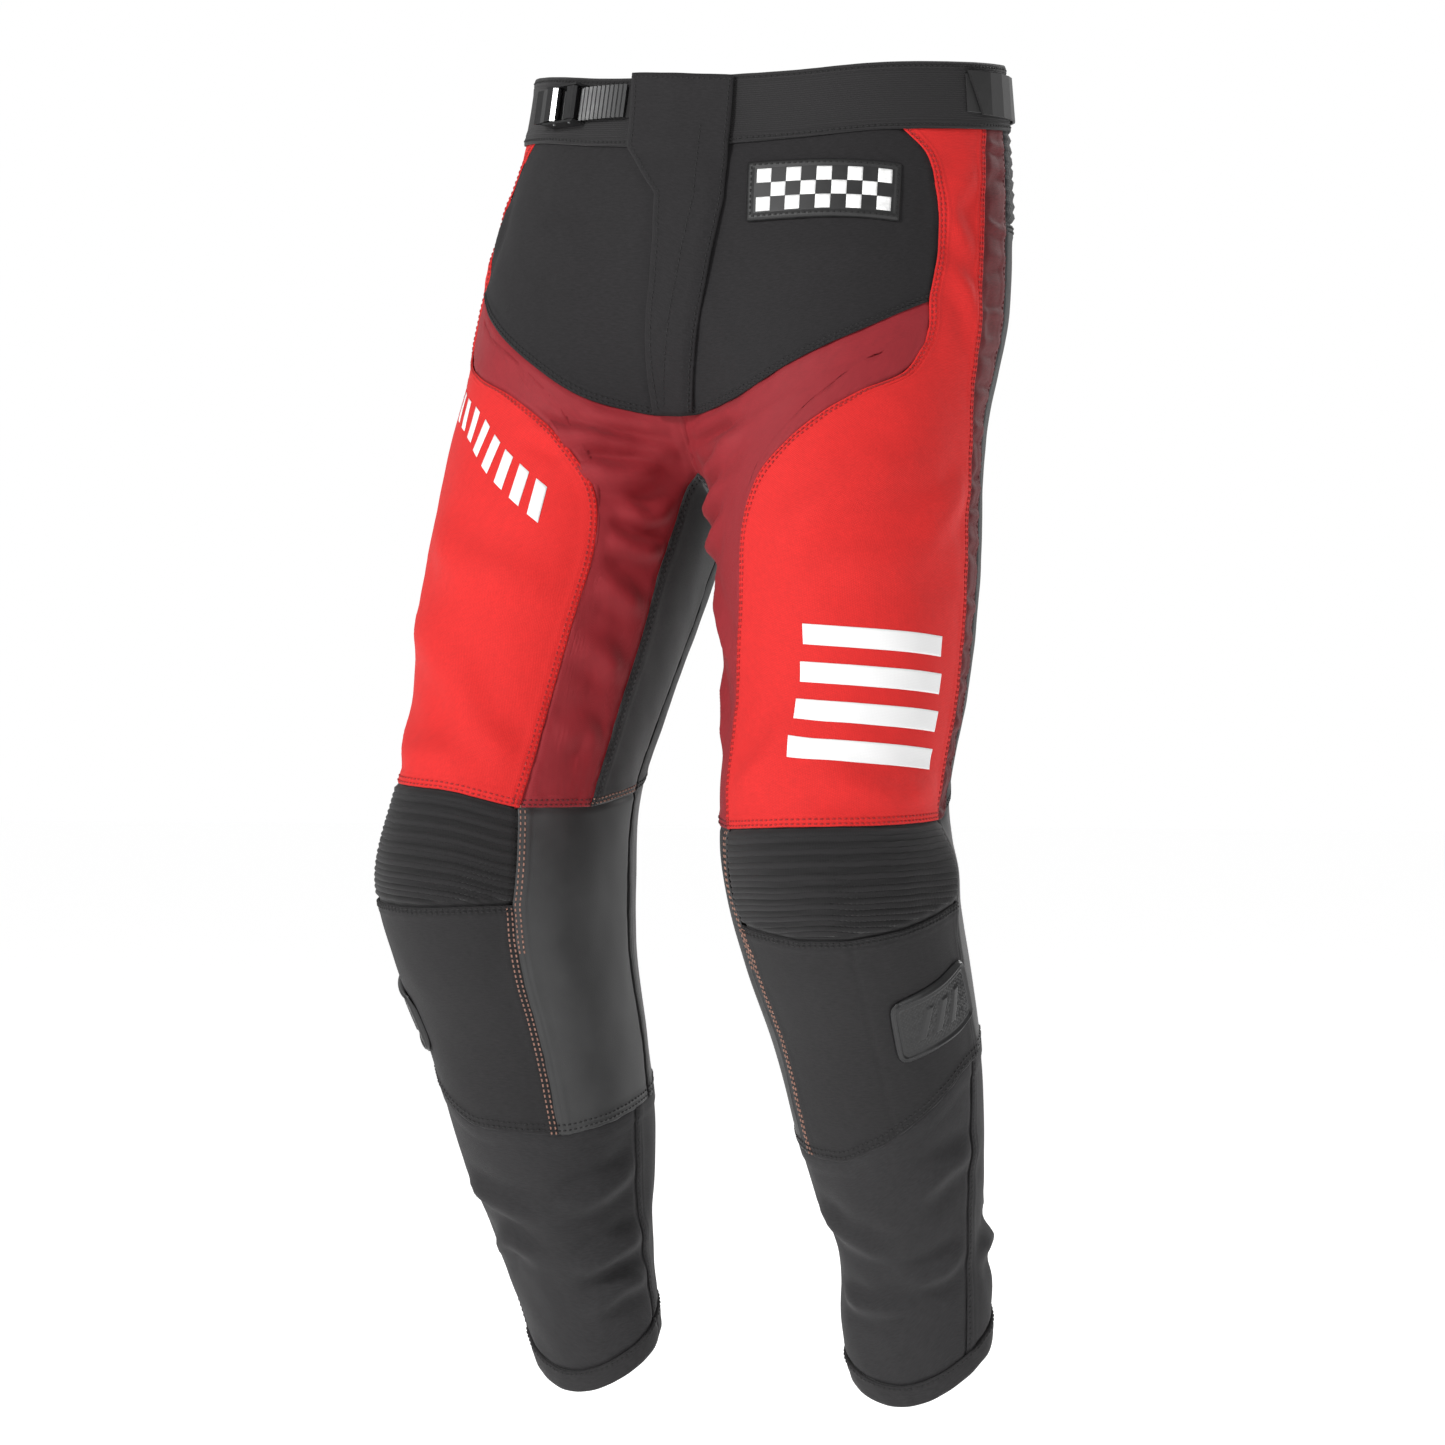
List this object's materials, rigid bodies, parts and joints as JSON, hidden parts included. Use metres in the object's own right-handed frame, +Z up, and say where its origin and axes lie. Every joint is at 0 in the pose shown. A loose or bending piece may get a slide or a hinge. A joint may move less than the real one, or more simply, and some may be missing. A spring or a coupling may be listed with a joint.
{
  "type": "riding pants",
  "caption": "Full-length off-road riding pants with a ratchet waist, covered zip fly, stretch knees and padded inner-leg hide.",
  "frame": {"origin": "middle of the waist opening, level with the waistband's top edge at the hips", "axes": "+X the wearer's left, -Y the wearer's front, +Z up along the body"},
  "size_m": [0.4514, 0.3788, 0.9744],
  "materials": {
    "yoke_cloth": "fine woven, matt",
    "seat_cloth": "heavy woven, matt",
    "maroon_stretch": "smooth stretch weave, slight sheen",
    "red_weave": "heavy woven, matt",
    "dark_maroon_trim": "smooth woven",
    "black_knit": "knitted, matt",
    "rib_knit": "ribbed stretch, matt",
    "cup_cloth": "heavy woven, matt",
    "black_hide": "smooth, low sheen",
    "calf_cloth": "stretch woven, matt",
    "cuff_cloth": "folded hem",
    "band_webbing": "ribbed webbing",
    "strap_webbing": "flat webbing",
    "loop_pile": "loop pile",
    "zip_tape": "woven tape",
    "black_moulding": "moulded, satin",
    "gloss_lever": "moulded, gloss",
    "pin_steel": "plain",
    "patch_rubber": "moulded, satin",
    "badge_rubber": "moulded, glossy rim"
  },
  "bodies": {
    "shell": {"front_yoke_left": "yoke_cloth", "front_yoke_right": "yoke_cloth", "inner_thigh_left": "maroon_stretch", "inner_thigh_right": "maroon_stretch", "outer_thigh_left": "red_weave", "outer_thigh_right": "red_weave", "side_stripe_left": "dark_maroon_trim", "side_stripe_right": "dark_maroon_trim", "knit_panel_left": "black_knit", "knit_panel_right": "black_knit", "seat_left": "seat_cloth", "seat_right": "seat_cloth", "waistband_front_left": "band_webbing", "waistband_front_right": "band_webbing", "waistband_back": "band_webbing", "rear_yoke": "rib_knit", "fly_underlap": "yoke_cloth", "zip_tape": "zip_tape", "zip_chain": "black_moulding", "ratchet_base": "black_moulding", "lever_pin": "pin_steel", "pawl_pin": "pin_steel", "hip_loop_strip": "loop_pile", "ring_strap": "strap_webbing", "hip_ring": "black_moulding", "chequer_patch": "patch_rubber"},
    "left_shin": {"knee_rib_left": "rib_knit", "knee_cup_left": "cup_cloth", "knee_hide_left": "black_hide", "knee_back_left": "black_knit", "knee_badge_left": "badge_rubber", "calf_front_left": "calf_cloth", "calf_back_left": "calf_cloth", "cuff_left": "cuff_cloth"},
    "right_shin": {"knee_rib_right": "rib_knit", "knee_cup_right": "cup_cloth", "knee_hide_right": "black_hide", "knee_back_right": "black_knit", "knee_badge_right": "badge_rubber", "calf_front_right": "calf_cloth", "calf_back_right": "calf_cloth", "cuff_right": "cuff_cloth"},
    "flap": {"fly_flap": "yoke_cloth"},
    "slider": {"zip_slider": "black_moulding"},
    "pull": {"zip_pull": "black_moulding"},
    "strap": {"ladder_strap": "black_moulding", "strap_anchor": "strap_webbing"},
    "lever": {"ratchet_lever": "gloss_lever"},
    "pawl": {"release_pawl": "black_moulding"},
    "tab": {"hip_tab": "strap_webbing"}
  },
  "joints": [
    {"name": "left_knee", "type": "hinge", "parent": "shell", "child": "left_shin", "pos_m": [0.138, -0.135, -0.605], "axis": [1, 0, 0], "range_deg": [-25, 75], "stiffness_Nm_per_rad": 2.5, "deforming": ["knee_rib_left", "knee_hide_left", "knee_back_left"]},
    {"name": "right_knee", "type": "hinge", "parent": "shell", "child": "right_shin", "pos_m": [-0.138, -0.135, -0.605], "axis": [1, 0, 0], "range_deg": [-25, 75], "stiffness_Nm_per_rad": 2.5, "deforming": ["knee_rib_right", "knee_hide_right", "knee_back_right"]},
    {"name": "flap_fold", "type": "hinge", "parent": "shell", "child": "flap", "pos_m": [0.026, -0.1309, -0.1336], "axis": [0.0834, 0.1047, 0.991], "range_deg": [0, 110], "deforming": ["fly_flap"]},
    {"name": "zip_run", "type": "hinge", "parent": "shell", "child": "slider", "pos_m": [0, 0.2448, -0.2087], "axis": [1, 0, 0], "range_deg": [0, 15]},
    {"name": "pull_swing", "type": "hinge", "parent": "slider", "child": "pull", "pos_m": [0, -0.1325, -0.0723], "axis": [1, 0, 0], "range_deg": [-8, 0]},
    {"name": "strap_run", "type": "hinge", "parent": "shell", "child": "strap", "pos_m": [-0.0246, 0.1067, -0.0738], "axis": [0.0339, 0.2044, 0.9783], "range_deg": [-2.8, 0.6]},
    {"name": "lever_lift", "type": "hinge", "parent": "shell", "child": "lever", "pos_m": [-0.1175, -0.1076, -0.0258], "axis": [0.0339, 0.2044, 0.9783], "range_deg": [0, 75], "stiffness_Nm_per_rad": 0.02},
    {"name": "pawl_tip", "type": "hinge", "parent": "shell", "child": "pawl", "pos_m": [-0.1017, -0.1138, -0.0251], "axis": [0.0339, 0.2044, 0.9783], "range_deg": [0, 18], "stiffness_Nm_per_rad": 0.02},
    {"name": "tab_peel", "type": "hinge", "parent": "shell", "child": "tab", "pos_m": [0.1617, 0.0703, -0.0228], "axis": [-0.135, 0.062, 0.9889], "range_deg": [0, 150]}
  ]
}
